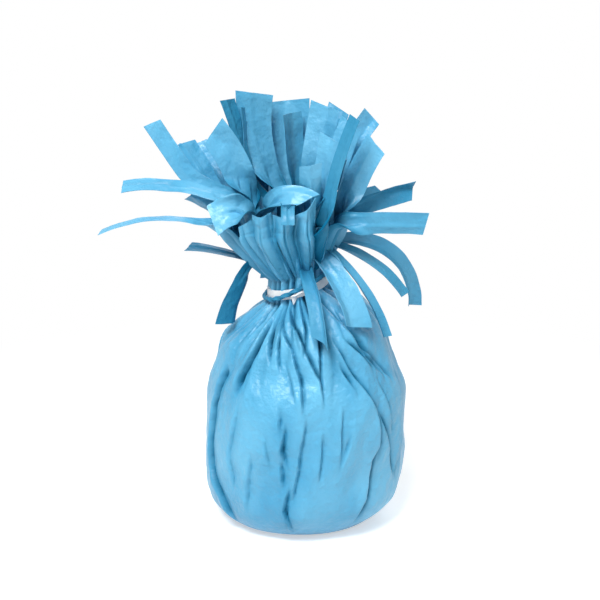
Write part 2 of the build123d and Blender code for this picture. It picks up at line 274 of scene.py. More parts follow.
def facets(u, v, seed, around=FACET_CELLS):
    """Flat triangular facets between random heights on a lattice, repeating every so many cells of u."""
    table = np.random.default_rng(seed).uniform(-1, 1, size=(around, FACET_CELLS))
    i, j = np.floor(u).astype(int), np.floor(v).astype(int)
    fu, fv = u - i, v - j
    i, j, right, up = i % around, j % FACET_CELLS, (i + 1) % around, (j + 1) % FACET_CELLS
    a, b, c, d = table[i, j], table[right, j], table[i, up], table[right, up]
    return np.where(fu > fv, a + (b - a) * fu + (d - b) * fv, a + (d - c) * fu + (c - a) * fv)


ripple = Noise(11)


# Meshes

SHARP_ANGLE = 50


def normals_of(grid, around):
    """Unit normals of a grid of points, closed around its first axis or open."""
    if around:
        du = np.roll(grid, -1, 0) - np.roll(grid, 1, 0)
    else:
        du = np.gradient(grid, axis=0)
    return unit(np.cross(du, np.gradient(grid, axis=1)))


def mesh_object(name, points, faces, material, fold=0.0):
    """A smooth object whose points carry in the fold attribute how much painted shade they take, from 0 to 1."""
    mesh = bpy.data.meshes.new(name)
    mesh.from_pydata((np.asarray(points) * MM).tolist(), [], faces)
    mesh.update()
    obj = bpy.data.objects.new(name, mesh)
    bpy.context.scene.collection.objects.link(obj)
    mesh.materials.append(material)
    mesh.polygons.foreach_set("use_smooth", [True] * len(mesh.polygons))
    mesh.set_sharp_from_angle(angle=radians(SHARP_ANGLE))
    layer = mesh.attributes.new("fold", "FLOAT", "POINT")
    layer.data.foreach_set("value", np.broadcast_to(np.clip(fold, 0, 1), (len(points),)).astype(np.float32))
    return obj


def sheet_object(name, grid, thickness, material, fold):
    """A thin closed sheet over an open grid of points."""
    n, m = grid.shape[:2]
    normal = normals_of(grid, False)
    top = grid + normal * thickness / 2
    low = grid - normal * thickness / 2
    points = np.concatenate([top.reshape(-1, 3), low.reshape(-1, 3)])
    under = n * m
    faces = []
    for i in range(n - 1):
        for j in range(m - 1):
            a = i * m + j
            faces.append((a, a + m, a + m + 1, a + 1))
            faces.append((under + a, under + a + 1, under + a + m + 1, under + a + m))
    rim = [i * m for i in range(n)] + [(n - 1) * m + j for j in range(1, m)]
    rim += [i * m + m - 1 for i in range(n - 2, -1, -1)] + list(range(m - 2, 0, -1))
    for a, b in zip(rim, rim[1:] + rim[:1]):
        faces.append((b, a, under + a, under + b))
    return mesh_object(name, points, faces, material, np.tile(fold.ravel(), 2))


def shell_object(name, outer, inner, material, fold):
    """A closed thin wall between two grids around the axis, with a shut base and an open rim."""
    n, m = outer.shape[:2]
    points = np.concatenate([outer.reshape(-1, 3), inner.reshape(-1, 3)])
    under = n * m
    faces = []
    for i in range(n):
        k = (i + 1) % n
        for j in range(m - 1):
            a, b = i * m + j, k * m + j
            faces.append((a, b, b + 1, a + 1))
            faces.append((under + a, under + a + 1, under + b + 1, under + b))
        a, b = i * m + m - 1, k * m + m - 1
        faces.append((a, b, under + b, under + a))
    faces.append([i * m for i in range(n - 1, -1, -1)])
    faces.append([under + i * m for i in range(n)])
    return mesh_object(name, points, faces, material, np.tile(fold.ravel(), 2))


def tube_object(name, rings, material, closed, fold=0.0):
    """A tube through rings of points; closed joins its ends."""
    n, m = rings.shape[:2]
    faces = []
    for i in range(n if closed else n - 1):
        k = (i + 1) % n
        for j in range(m):
            after = (j + 1) % m
            faces.append((i * m + j, k * m + j, k * m + after, i * m + after))
    if not closed:
        faces.append(list(range(m)))
        faces.append([(n - 1) * m + j for j in range(m - 1, -1, -1)])
    return mesh_object(name, rings.reshape(-1, 3), faces, material, fold)


# Materials

def node(tree, kind, values=(), **settings):
    """A new shader node with its settings and the values of its inputs."""
    made = tree.nodes.new("ShaderNode" + kind)
    for name, setting in settings.items():
        setattr(made, name, setting)
    for socket, value in dict(values).items():
        made.inputs[socket].default_value = value
    return made


def wire(tree, *joins):
    """Link sockets, each join given as a node, its output, the next node and its input."""
    for source, output, target, socket in joins:
        tree.links.new(source.outputs[output], target.inputs[socket])


def two_tones(tree, dark, light, low, high):
    """A ramp between two colours, even below low and above high."""
    ramp = node(tree, "ValToRGB")
    for end, place, color in ((0, low, dark), (1, high, light)):
        ramp.color_ramp.elements[end].position = place
        ramp.color_ramp.elements[end].color = (*color, 1)
    return ramp


def film_material(name, light, dark, deep, roughness, crinkle):
    """Satin film: two close tones at random, painted shade in the deep colour with less gloss where the fold attribute
    is high, fine crinkle and uneven gloss.
    """
    material = bpy.data.materials.new(name)
    material.use_nodes = True
    tree = material.node_tree
    shader = tree.nodes["Principled BSDF"]
    shader.inputs["IOR"].default_value = 1.58
    place = node(tree, "TexCoord")
    stretch = node(tree, "Mapping", {"Scale": (1, 1, 0.5)})
    broad = node(tree, "TexNoise", {"Scale": 55, "Detail": 5})
    fine = node(tree, "TexNoise", {"Scale": 420, "Detail": 6})
    ridges = node(
        tree,
        "TexNoise",
        {"Scale": 75, "Detail": 3, "Roughness": 0.45, "Distortion": 0.4},
        noise_type="RIDGED_MULTIFRACTAL",
    )
    ramp = two_tones(tree, dark, light, 0.32, 0.68)
    # The fold attribute lays on painted shade: the base colour goes towards the deep colour and the gloss drops.
    painted_shade = node(tree, "Attribute", attribute_name="fold")
    tone = node(tree, "Mix", {"B": (*deep, 1)}, data_type="RGBA")
    gloss = node(tree, "MapRange", {"To Min": roughness - 0.07, "To Max": roughness + 0.1})
    shaded_gloss = node(tree, "MapRange", {"From Max": 0.6, "To Min": 0.55, "To Max": 0.08})
    relief = node(tree, "Math", {1: 0.5}, operation="MULTIPLY_ADD")
    bump = node(tree, "Bump", {"Strength": crinkle, "Distance": 0.0012})
    wire(
        tree,
        (place, "Object", stretch, "Vector"),
        (stretch, "Vector", broad, "Vector"),
        (stretch, "Vector", ridges, "Vector"),
        (place, "Object", fine, "Vector"),
        (broad, "Fac", ramp, "Fac"),
        (painted_shade, "Fac", tone, "Factor"),
        (painted_shade, "Fac", shaded_gloss, "Value"),
        (shaded_gloss, "Result", shader, "Specular IOR Level"),
        (ramp, "Color", tone, "A"),
        (tone, "Result", shader, "Base Color"),
        (fine, "Fac", gloss, "Value"),
        (gloss, "Result", shader, "Roughness"),
        (ridges, "Fac", relief, 0),
        (fine, "Fac", relief, 2),
        (relief, "Value", bump, "Height"),
        (bump, "Normal", shader, "Normal"),
    )
    return material


def grain_material(name, light, dark, scale, roughness, strength):
    """A matte, grainy surface, such as sand or paper."""
    material = bpy.data.materials.new(name)
    material.use_nodes = True
    tree = material.node_tree
    shader = tree.nodes["Principled BSDF"]
    shader.inputs["Roughness"].default_value = roughness
    place = node(tree, "TexCoord")
    grain = node(tree, "TexNoise", {"Scale": scale, "Detail": 8})
    ramp = two_tones(tree, dark, light, 0.3, 0.7)
    bump = node(tree, "Bump", {"Strength": strength, "Distance": 0.0005})
    wire(
        tree,
        (place, "Object", grain, "Vector"),
        (grain, "Fac", ramp, "Fac"),
        (ramp, "Color", shader, "Base Color"),
        (grain, "Fac", bump, "Height"),
        (bump, "Normal", shader, "Normal"),
    )
    return material


# The third colour of each film is its painted shade, laid on where the fold attribute is high.
FILM_BLUE = film_material("film_blue", (0.115, 0.45, 0.69), (0.04, 0.31, 0.54), (0.001, 0.08, 0.165), 0.38, 0.6)
STRIP_BLUE = film_material("strip_blue", (0.13, 0.46, 0.69), (0.05, 0.32, 0.54), (0.001, 0.13, 0.25), 0.38, 0.4)
BAG_CLEAR = film_material("bag_clear", (0.80, 0.83, 0.84), (0.70, 0.74, 0.75), (0.55, 0.6, 0.62), 0.25, 0.3)
PAPER = grain_material("tie_paper", (0.90, 0.90, 0.89), (0.78, 0.79, 0.80), 600, 0.75, 0.3)
SAND = grain_material("sand", (0.55, 0.43, 0.26), (0.36, 0.26, 0.14), 900, 0.9, 0.8)


# Wraps

# Outline of a wrap: powers of the dome's fall and of the collar's flare, points along each part, the radius at its
# middle and rounds of easing
DOME_POWER, DOME_ROUNDING, FLARE_POWER = 2.5, 0.9, 0.9
BASE_POINTS, DOME_POINTS, COLLAR_POINTS = 24, 60, 30
POLE_RADIUS, OUTLINE_EASING = 0.5, 3

# Creases, in millimetres across: reach, edge and power of the lap, place of the slot, its least half width and how that
# grows with its depth, and where the film lies low beside it
LAP_REACH, LAP_EDGE, LAP_POWER = 7, 1.1, 1.3
SLOT_PLACE, SLOT_HALF, SLOT_GROWTH = 0.8, 0.45, 0.38
LOW_FROM, LOW_FULL, LOW_REACH = -0.2, 0.9, 5

# Shares of the slot's depth and of the lap's height that show, the even and the uneven part of the slot, and how much
# painted shade the slot and the low film get
SLOT_SHARE, LOW_SHARE = 0.8, 0.9
SLOT_EVEN, SLOT_UNEVEN, UNEVEN_RATES = 0.7, 0.3, (0.8, 0.31)
SHADE_PER_DEPTH, SHADE_LEAST, SLOT_SHADE, LOW_SHADE = 0.45, 0.15, 0.9, 0.45

# How far a crease wavers, in degrees, at what rate, and the heights round its lower and upper end where it fades
CREASE_WAVER, WAVER_RATE = 0.25, 0.45
LOWER_FADE, UPPER_FADE = (-3, 5), (-4, 4)

# Gathers: seed, number and depth of the folds, and the range of each fold's own measures: slip as a share of the space
# between folds, slant in degrees per millimetre, drop below the neck, half width in degrees and share of the depth
GATHER_SEED, GATHERS, GATHER_DEPTH = 5, 22, 2.4
GATHER_SLIPS = GATHER_SLANTS = (-0.3, 0.3)
GATHER_DROPS = (12, 40)
GATHER_WIDTHS = (6.5, 10.5)
GATHER_DEPTH_SHARES = (0.6, 1.15)

# How far a fold wavers in degrees, in what height, the powers of its fade and of its valley, how much shallower it is
# at the rim, and how much painted shade its valley gets
GATHER_WAVER, GATHER_WAVE, GATHER_FADE, VALLEY_POWER = 1.2, 4, 1.3, 1.4
RIM_EASE, GATHER_SHADE = 0.3, 0.85

# Slits beside the strips: degrees from a strip's middle where one begins and is full, and its share of the collar
SLIT_FROM, SLIT_FULL, SLIT_SHARE = 5, 11, 0.3

# Soft forms of the body, each as size, middle height and spread in millimetres
LEFT_BULGES = ((2.0, 7, 11), (2.2, 32, 14))
RIGHT_DIP = (1.0, 4, 14)
SHOULDER_DIP = (2.4, 57, 8.5)

# Flat facets of the body: size, cells around, height of a cell, height in which a row slips by one cell, and seed
FLATS = ((0.8, 17, 19, inf, 3), (0.6, 31, 11, inf, 4), (0.2, 61, 5.5, 40, 6))

# Heights between which the facets begin, how far below the neck they end, how far they are warped around, as a share of
# the turn, and upward, the size of the warp and its shifts, then the height and the size of a broad sway
FLATS_FROM, FLATS_FULL, FLATS_END = 1.5, 10, 6
WARP_AROUND, WARP_UP, WARP_SIZE, AROUND_SHIFT, UP_SHIFT = 0.012, 2.5, 14, 5, 9
SWAY, SWAY_SIZE = 0.25, 21

# How far the outer collar is drawn in, the deepest fold, and the height in which the folds begin above the base
COLLAR_DRAW, DEEPEST, FOLD_START = 2.6, 3.4, 3

# The inner sheet's extra inset in the gathers, and the heights in which it begins and ends
GATHER_INSET, INSET_START, INSET_END = 0.8, 10, 2


def dome_radius(share, foot, top):
    return top + (foot - top) * np.maximum(0, 1 - share ** DOME_POWER) ** DOME_ROUNDING


def collar_radius(share, rim):
    return NECK_RADIUS + (rim - NECK_RADIUS) * share ** FLARE_POWER


def lean_at(z, collar):
    """How far the axis leans to the left at a height."""
    body = NECK_LEAN * np.clip((z - SHOULDER) / (NECK_BOTTOM - SHOULDER), 0, 1)
    crown = (RIM_LEAN - NECK_LEAN) * np.clip((z - NECK_TOP) / collar, 0, 1)
    return body + crown


def tilt_at(z, collar):
    """Slope of a section up to the right: full at the neck, none on the body and little at the rim."""
    rise = np.clip((z - SHOULDER) / (NECK_BOTTOM - SHOULDER), 0, 1) ** 2
    fall = blend(1, RIM_TILT_SHARE, np.clip((z - NECK_TOP) / collar, 0, 1))
    return NECK_TILT * rise * fall


def meridian(rim, collar, inset, samples):
    """Even points up a wrap's outline, as radius and height."""
    foot = BODY_RADIUS - inset
    r = [POLE_RADIUS, BASE_FLAT]
    z = [inset, inset]
    for turn in np.linspace(0, pi / 2, BASE_POINTS)[1:]:
        r.append(BASE_FLAT + (foot - BASE_FLAT) * sin(turn))
        z.append(inset + (BASE_ROUND - inset) * (1 - cos(turn)))
    for share in np.linspace(0, 1, DOME_POINTS):
        r.append(float(dome_radius(share, foot, NECK_RADIUS - inset)))
        z.append(SHOULDER + (NECK_BOTTOM - SHOULDER) * share)
    for share in np.linspace(0, 1, COLLAR_POINTS):
        r.append(float(collar_radius(share, rim)) - inset)
        z.append(NECK_TOP + collar * share)
    r, z = np.array(r), np.array(z)
    r[1:] = eased(r[1:], OUTLINE_EASING)
    run = np.concatenate([[0], np.cumsum(np.hypot(np.diff(r), np.diff(z)))])
    even = np.linspace(0, run[-1], samples)
    return np.interp(even, run, r), np.interp(even, run, z)


def crease_field(azimuth, height):
    """Sum of the creases, each a lap of film over a narrow slot, and the painted shade in them."""
    total = np.zeros(np.broadcast(azimuth, height).shape)
    deep = np.zeros(total.shape)
    for points, slit, lap_height in CREASES:
        az, hz = np.array(points, float).T
        phase = az[0]
        up = np.argsort(hz)
        centre = np.interp(height, hz[up], az[up])
        centre = centre + CREASE_WAVER * np.sin(height * WAVER_RATE + phase)
        off = turn_from(centre, azimuth) * pi / 180 * BODY_RADIUS * np.sign(lap_height)
        begun = smooth(*(hz.min() + shift for shift in LOWER_FADE), height)
        ended = smooth(*(hz.max() + shift for shift in UPPER_FADE), height)
        ends = begun * (1 - ended)
        lap = np.where(off < 0, np.maximum(0, 1 + off / LAP_REACH) ** LAP_POWER, 1 - smooth(0, LAP_EDGE, off))
        slot = np.maximum(0, 1 - np.abs(off - SLOT_PLACE) / (SLOT_HALF + SLOT_GROWTH * slit))
        rate, slow_rate = UNEVEN_RATES
        uneven = SLOT_UNEVEN * np.sin(height * rate + phase) * np.sin(height * slow_rate + 2 * phase)
        slot = slot * (SLOT_EVEN + uneven)
        under = smooth(LOW_FROM, LOW_FULL, off) * np.maximum(0, 1 - off / LOW_REACH)
        total += ends * (abs(lap_height) * lap - SLOT_SHARE * slit * slot - LOW_SHARE * abs(lap_height) * under)
        # Painted shade in the slot and on the low film beside it, more for a deeper slot.
        deepest_shade = np.minimum(1, SHADE_PER_DEPTH * slit + SHADE_LEAST)
        deep = np.maximum(deep, ends * deepest_shade * (SLOT_SHADE * slot + LOW_SHADE * under ** 2))
    return total, deep


def gather_field(azimuth, height, collar):
    """Folds of the gathers, sharp valleys that fade down the dome at their own lengths, and the painted shade in them.
    """
    draw = np.random.default_rng(GATHER_SEED)
    total = np.zeros(np.broadcast(azimuth, height).shape)
    dark = np.zeros(total.shape)
    for pleat in range(GATHERS):
        centre = 360 / GATHERS * (pleat + draw.uniform(*GATHER_SLIPS))
        slant = draw.uniform(*GATHER_SLANTS)
        drop = draw.uniform(*GATHER_DROPS)
        width = draw.uniform(*GATHER_WIDTHS)
        deep = GATHER_DEPTH * draw.uniform(*GATHER_DEPTH_SHARES)
        line = centre + slant * (height - NECK_TOP) + GATHER_WAVER * np.sin(height / GATHER_WAVE + pleat)
        away = np.abs(turn_from(line, azimuth))
        below = np.clip((height - NECK_BOTTOM + drop) / drop, 0, 1) ** GATHER_FADE
        above = 1 - RIM_EASE * smooth(NECK_TOP, NECK_TOP + collar, height)
        valley = np.maximum(0, 1 - away / width)
        total -= deep * below * above * valley ** VALLEY_POWER
        # Painted shade in the valley of each fold.
        dark = np.maximum(dark, below * valley ** 2 * deep / GATHER_DEPTH)
    return total, GATHER_SHADE * dark


def slit_depth(azimuth, table):
    """How far the slits beside the strips run down from the rim, as a share of the deepest, at each azimuth."""
    away = np.full(len(azimuth), 180.0)
    for row in table:
        away = np.minimum(away, np.abs(turn_from(row[0], azimuth)))
    return smooth(SLIT_FROM, SLIT_FULL, away)


def wrap_grid(table, rim, collar, inset, around, samples):
    """Points of one gathered sheet around the axis, and the painted shade of its folds and creases."""
    r, z = meridian(rim, collar, inset, samples)
    azimuth = np.linspace(-180, 180, around, endpoint=False)
    az = np.radians(azimuth)[:, None]
    share = np.clip((z - NECK_TOP) / collar, 0, 1)[None, :]
    cut = share * (1 - SLIT_SHARE * slit_depth(azimuth, table)[:, None])
    h = np.where(share > 0, NECK_TOP + collar * cut, z[None, :])
    r = np.where(share > 0, collar_radius(cut, rim) - inset, r[None, :])
    x = r * np.cos(az)
    y = r * np.sin(az)
    grid = np.stack([x - lean_at(h, collar), y, h + tilt_at(h, collar) * x], axis=2)
    a = np.broadcast_to(azimuth[:, None], x.shape)
    push, dark = gather_field(a, h, collar)
    lines, deep = crease_field(a, h)
    push = push + lines
    # fold holds the painted shade of the gathers and the creases
    fold = np.maximum(dark, deep)
    if inset == 0:
        push = push - COLLAR_DRAW * smooth(NECK_TOP, NECK_TOP + collar, h)
    left = np.maximum(0, -np.cos(az))
    right = np.maximum(0, np.cos(az))
    push = push + left * sum(swell(h, *bulge) for bulge in LEFT_BULGES)
    push = push - right * swell(h, *RIGHT_DIP)
    place = np.stack([x, y, h], axis=2)
    u = azimuth[:, None] / 360 + WARP_AROUND * ripple(place / WARP_SIZE + AROUND_SHIFT)
    v = h + WARP_UP * ripple(place / WARP_SIZE + UP_SHIFT)
    flats = sum(
        size * facets(u * cells + v / slip, v / tall, seed, cells) for size, cells, tall, slip, seed in FLATS
    )
    on_body = smooth(FLATS_FROM, FLATS_FULL, h) * (1 - smooth(NECK_BOTTOM - FLATS_END, NECK_BOTTOM, h))
    push = push + on_body * (flats + SWAY * ripple(place / SWAY_SIZE))
    push = np.where(h < NECK_TOP, np.maximum(push, -DEEPEST), push)
    push = push - swell(h, *SHOULDER_DIP)
    if inset > 0:
        gathered = smooth(SHOULDER, SHOULDER + INSET_START, h)
        tied = smooth(NECK_BOTTOM - INSET_END, NECK_BOTTOM + INSET_END, h)
        push = push - GATHER_INSET * gathered * (1 - tied)
    fade = smooth(inset, inset + FOLD_START, h)
    return grid + normals_of(grid, True) * (push * fade)[:, :, None], fold * fade


def build_wrap(name, node_name, table, rim, collar, inset, around, samples):
    """One sheet of film, in the place of its node."""
    outer, fold = wrap_grid(table, rim, collar, inset, around, samples)
    inner = outer - normals_of(outer, True) * FILM
    obj = shell_object(name, outer, inner, FILM_BLUE, fold)
    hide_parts(node_name)
    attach(obj, "weight")
    return obj


# Strips

# Points across a strip, and along its free part, its foot and the tuck of a hanging one
RIBBON_ACROSS, RIBBON_ALONG, FOOT_ALONG, TUCK_ALONG = 21, 40, 18, 7

# Fine pleats across a foot, their half width as a share of one, and their height as a share of the strip's half width
FINE_PLEATS, FINE_HALF, FINE_HEIGHT = 2.6, 0.24, 0.28

# Seeds of the fine pleats and the sharp fold, counted from a strip's own seed, and the seeds of the families
PLEAT_SEED, FOLD_SEED = 700, 300
OUTER_SEED, INNER_SEED, HANGING_SEED = 0, 40, 80

# Height and size of a strip's ripple and its step from strip to strip, then its facets: height, cells to a half width,
# length in which a row slips by one cell, shift, length of a cell and seed
RIPPLE, RIPPLE_SIZE, RIPPLE_STEP = 0.28, 8, 1.7
STRIP_FLATS = ((0.36, 0.9, 30, 0.5, 5.5, 500), (0.12, 2.1, 20, 0.0, 2.6, 900))

# Section of a strip: ranges of the sharp fold's place and steepness, the side at which a cup, a fold and a foot cross
# the path, and how steep a foot is
FOLD_PLACES, FOLD_STEEPS = (-0.5, 0.5), (0.15, 0.4)
CUP_LEVEL, FOLD_LEVEL, FOOT_LEVEL, FOOT_STEEP = 0.4, 0.5, 0.45, 1.1

# Shares of the length where the slant of the end begins and where the ripple is full, and the half width that takes all
# of the ripple
SLANT_FROM, RIPPLE_FULL, RIPPLE_HALF = 0.7, 0.25, 3

# How much painted shade the edges of a pleated foot, its fine pleats and the root get, and the share of the length
# called root
EDGE_SHADE, FINE_SHADE, ROOT_SHADE, ROOT_SHARE = 0.7, 0.55, 0.4, 0.4

# Shares of the length in which a foot widens to the strip, how fast a narrow foot narrows, and the pleats of a hanging
# strip: their strength and the shares between which they open
WIDEN_SHARE, NARROWING = 0.4, 4
HANGING_PLEAT, HANGING_OPENING = 0.6, (0.1, 0.5)

# Rounds of easing for a strip on the rim, its twist and a hanging strip
RIM_EASING, TWIST_EASING, HANGING_EASING = 10, 4, 4

# Places of the strips in millimetres: how far a root lies inside the rim and above it, how far every other foot is set
# in, the length in which a foot's pleats open, and how far a hanging root stands off the collar and the neck
ROOT_INSET, ROOT_LIFT, FOOT_STAGGER, PLEAT_OPENING = 1.3, 0.5, 0.9, 12
HANGING_OFF, HANGING_NECK_OFF = 0.5, 0.7

# How much the feet of neighbours lap, how far a tuck sinks, and the painted shade of a strip not listed as shaded
FOOT_LAP, TUCK_SINK, USUAL_SHADE = 1.06, 0.4, 0.04


def fine_pleats(samples, seed):
    """Narrow valleys across a pleated foot, from 0 to 1, at even points from side to side."""
    shift = np.random.default_rng(seed + PLEAT_SEED).uniform(0, 1)
    place = np.linspace(-FINE_PLEATS / 2, FINE_PLEATS / 2, samples) + shift
    return np.maximum(0, 1 - np.abs(place % 1 - 0.5) / FINE_HALF)


def ribbon_grid(path, across, half, turn, pleat, cup, fold, slant, seed):
    """Points of a strip along a path, with a pleated foot, a cup, a lengthwise fold, a twist and a slanted end."""
    run = np.linspace(0, 1, len(path))
    along = unit(np.gradient(path, axis=0))
    across = unit(across - along * (across * along).sum(1, keepdims=True))
    turn = np.radians(turn)[:, None]
    normal = np.cross(along, across)
    across, normal = across * np.cos(turn) + normal * np.sin(turn), normal * np.cos(turn) - across * np.sin(turn)
    draw = np.random.default_rng(seed + FOLD_SEED)
    line, sharp = draw.uniform(*FOLD_PLACES), draw.choice([-1, 1]) * draw.uniform(*FOLD_STEEPS)
    fine = fine_pleats(RIBBON_ACROSS, seed)
    reach = smooth(SLANT_FROM, 1, run)[:, None]
    side = np.linspace(-1, 1, RIBBON_ACROSS)
    grid = np.zeros((len(path), RIBBON_ACROSS, 3))
    for j, s in enumerate(side):
        bowl = cup * (s * s - CUP_LEVEL) + fold * (abs(s) - FOLD_LEVEL) + sharp * (abs(s - line) - FOLD_LEVEL)
        bowl = blend(bowl, FOOT_STEEP * (abs(s) - FOOT_LEVEL) + FINE_HEIGHT * fine[j], pleat)
        grid[:, j] = path + across * (half * s)[:, None] + normal * (half * bowl)[:, None]
        grid[:, j] += along * reach * (slant * s) * half[:, None]
    length = np.linalg.norm(np.diff(path, axis=0), axis=1).sum() * run[:, None]
    wave = RIPPLE * ripple(grid / RIPPLE_SIZE + seed * RIPPLE_STEP)
    for size, cells, slip, shift, tall, flat_seed in STRIP_FLATS:
        wave = wave + size * facets(side[None, :] * cells + length / slip + shift, length / tall, seed + flat_seed)
    away = smooth(0, RIPPLE_FULL, run)[:, None] * np.minimum(1, half / RIPPLE_HALF)[:, None] ** 2
    return grid + normal[:, None, :] * (wave * away)[:, :, None]


def heading_vector(heading, rise):
    heading, rise = np.radians(heading), np.radians(rise)
    return np.stack([np.cos(rise) * np.cos(heading), np.cos(rise) * np.sin(heading), np.sin(rise)], axis=-1)


def sideways(heading):
    """The level direction across a heading."""
    return np.array([-sin(radians(heading)), cos(radians(heading)), 0.0])


def arc_path(root, heading, start, end, length, bend=()):
    """Even points along a strip that bends evenly, or within a part of its length, from start to end rise."""
    share = (np.arange(RIBBON_ALONG) + 0.5) / RIBBON_ALONG
    rise = blend(start, end, smooth(*bend, share) if bend else share)
    steps = heading_vector(heading + 0 * share, rise) * (length / RIBBON_ALONG)
    path = np.concatenate([[root], root + np.cumsum(steps, axis=0)])
    return path, np.repeat(sideways(heading)[None], RIBBON_ALONG + 1, 0)


def ring_point(azimuth, radius, lean, height, slope):
    """A point on a ring round the axis that leans and slopes."""
    x = radius * cos(radians(azimuth))
    return np.array([x - lean, radius * sin(radians(azimuth)), height + slope * x])


def collar_points(azimuth, rim, collar, inset, start, samples):
    """Points up the collar to the rim at one azimuth."""
    share = np.linspace(start, 1, samples, endpoint=False)
    z = NECK_TOP + collar * share
    r = collar_radius(share, rim) - inset
    az = radians(azimuth)
    x = r * cos(az)
    return np.stack([x - lean_at(z, collar), r * sin(az), z + tilt_at(z, collar) * x], axis=1)


def turn_along(twist, samples):
    """The twist at each point of a strip, complete a little way from the root."""
    return twist * np.minimum(1, np.linspace(0, 1, samples) / TWIST_RUN_SHARE)


def build_strip(name, body, path, across, half, turn, pleat, look, seed):
    """One strip of film, in the place of its node, with painted shade in its pleats and at its root."""
    grid = ribbon_grid(path, across, half, turn, pleat, *look, seed)
    n, m = grid.shape[:2]
    # Painted shade along the edges and fine pleats of a foot, at the root, and over the whole of a shaded strip.
    edge = np.abs(np.linspace(-1, 1, m))[None, :] ** 2
    root = 1 - smooth(0, ROOT_SHARE, np.linspace(0, 1, n))[:, None]
    lines = pleat[:, None] * np.maximum(EDGE_SHADE * edge, FINE_SHADE * fine_pleats(m, seed)[None, :])
    fold = np.maximum(lines, ROOT_SHADE * root) + SHADED_STRIPS.get(name, USUAL_SHADE)
    obj = sheet_object(name, grid, FILM, STRIP_BLUE, fold)
    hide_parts(name)
    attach(obj, body)
    return obj


def rim_strips(family, table, rim, collar, inset, full, foot_start, seed):
    """The strips on a sheet's rim, each with a pleated foot on the collar."""
    strips = []
    lap = radians(180 / len(table)) * FOOT_LAP
    for number, row in enumerate(table, start=1):
        azimuth, heading, start, end, length, width, twist, *look = row
        name = f"{family}_strip_{number:02d}"
        start, end, *bend = SHARP_BENDS.get(name, (start, end))
        root = ring_point(
            azimuth, rim - inset - ROOT_INSET, RIM_LEAN, NECK_TOP + collar + ROOT_LIFT, NECK_TILT * RIM_TILT_SHARE
        )
        path, across = arc_path(root, heading, start, end, full * length, bend)
        run = np.linspace(0, 1, len(path))
        foot = collar_points(azimuth, rim, collar, inset + FOOT_STAGGER * (number % 2), foot_start, FOOT_ALONG)
        whole = eased(np.concatenate([foot, path]), RIM_EASING)
        lay = eased(np.concatenate([np.repeat(sideways(azimuth)[None], FOOT_ALONG, 0), across]), RIM_EASING)
        turn = eased(np.concatenate([np.zeros(FOOT_ALONG), turn_along(twist, len(path))]), TWIST_EASING)
        reach = collar_radius(np.linspace(foot_start, 1, FOOT_ALONG), rim) * lap
        if name in NARROW_FEET:
            free = np.linspace(NARROW_FEET[name], STRIP_WIDTH * width, len(path)) / 2
            free = np.maximum(free, reach[-1] * (1 - NARROWING * run))
        else:
            free = blend(reach[-1], STRIP_WIDTH * width / 2, smooth(0, WIDEN_SHARE, run))
        widths = np.concatenate([reach, free])
        pleat = np.concatenate([np.ones(FOOT_ALONG), 1 - smooth(0, PLEAT_OPENING / (full * length), run)])
        strips.append(build_strip(name, "weight", whole, lay, widths, turn, pleat, look, seed + number))
    return strips


def hanging_strips():
    """The strips that leave at the tie and bend over it, each on a body of its own."""
    strips = []
    for number, row in enumerate(HANGING_STRIPS, start=1):
        azimuth, root_share, reach, drop, bulge, width, twist, *look, root_width = row
        name = f"hanging_strip_{number:02d}"
        out = max(float(collar_radius(root_share, OUTER_RIM)), NECK_RADIUS + HANGING_NECK_OFF) + HANGING_OFF
        root = ring_point(
            azimuth,
            out,
            blend(NECK_LEAN, RIM_LEAN, root_share),
            NECK_TOP + OUTER_COLLAR * root_share,
            NECK_TILT * blend(1, RIM_TILT_SHARE, root_share),
        )
        chord = hypot(BODY_RADIUS * reach, NECK_BOTTOM * drop)
        rise = -degrees(asin(NECK_BOTTOM * drop / chord))
        half_turn = 2 * atan(2 * bulge)
        path, across = arc_path(
            root, azimuth, rise + degrees(half_turn), rise - degrees(half_turn), chord * half_turn / sin(half_turn)
        )
        deep = np.linspace(-SHORT_TUCKS.get(name, USUAL_TUCK), 0, TUCK_ALONG + 1)[:-1, None]
        tuck = np.array([cos(radians(azimuth)), sin(radians(azimuth)), -TUCK_SINK]) * deep
        path = eased(np.concatenate([root + tuck, path]), HANGING_EASING)
        across = np.concatenate([across[:TUCK_ALONG], across])
        widths = np.linspace(root_width, STRIP_WIDTH * width, len(path)) / 2
        turn = turn_along(twist, len(path))
        pleat = HANGING_PLEAT * (1 - smooth(*HANGING_OPENING, np.linspace(0, 1, len(path))))
        strips.append(build_strip(name, name, path, across, widths, turn, pleat, look, HANGING_SEED + number))
    return strips


# Ties

# Paper tie: radius, height, slope, width and thickness, and its section as shares of the thickness and the width
TIE_RADIUS, TIE_HEIGHT, TIE_SLOPE, TIE_WIDTH, TIE_THICKNESS = 9.4, 79.4, 0.25, 3.0, 0.6
TIE_SECTION = ((0, -0.5), (0.5, -0.42), (1, -0.5), (1, -0.2), (1, 0.2), (1, 0.5), (0.5, 0.42), (0, 0.5))
TIE_POINTS = 120

# Wobbles of the tie, each as size, number around and phase
TIE_WOBBLES = ((0.12, 3, 1), (0.08, 7, 0))

# Tail of the tie: root, run and sag of its path, its lie, half width, thickness, twist, look and seed
TAIL_ROOT, TAIL_RUN, TAIL_SAG = (-1.2, -9.3, 80.5), (-3.2, -2.4, -1.4), (0.4, -0.4, 1.8)
TAIL_ACROSS, TAIL_HALF, TAIL_THICKNESS, TAIL_TWIST = (-0.5, 0.25, 0.8), 1.2, 0.4, 150
TAIL_LOOK, TAIL_SEED, TAIL_POINTS = (0.2, 0.3, 0.6), 7, 24

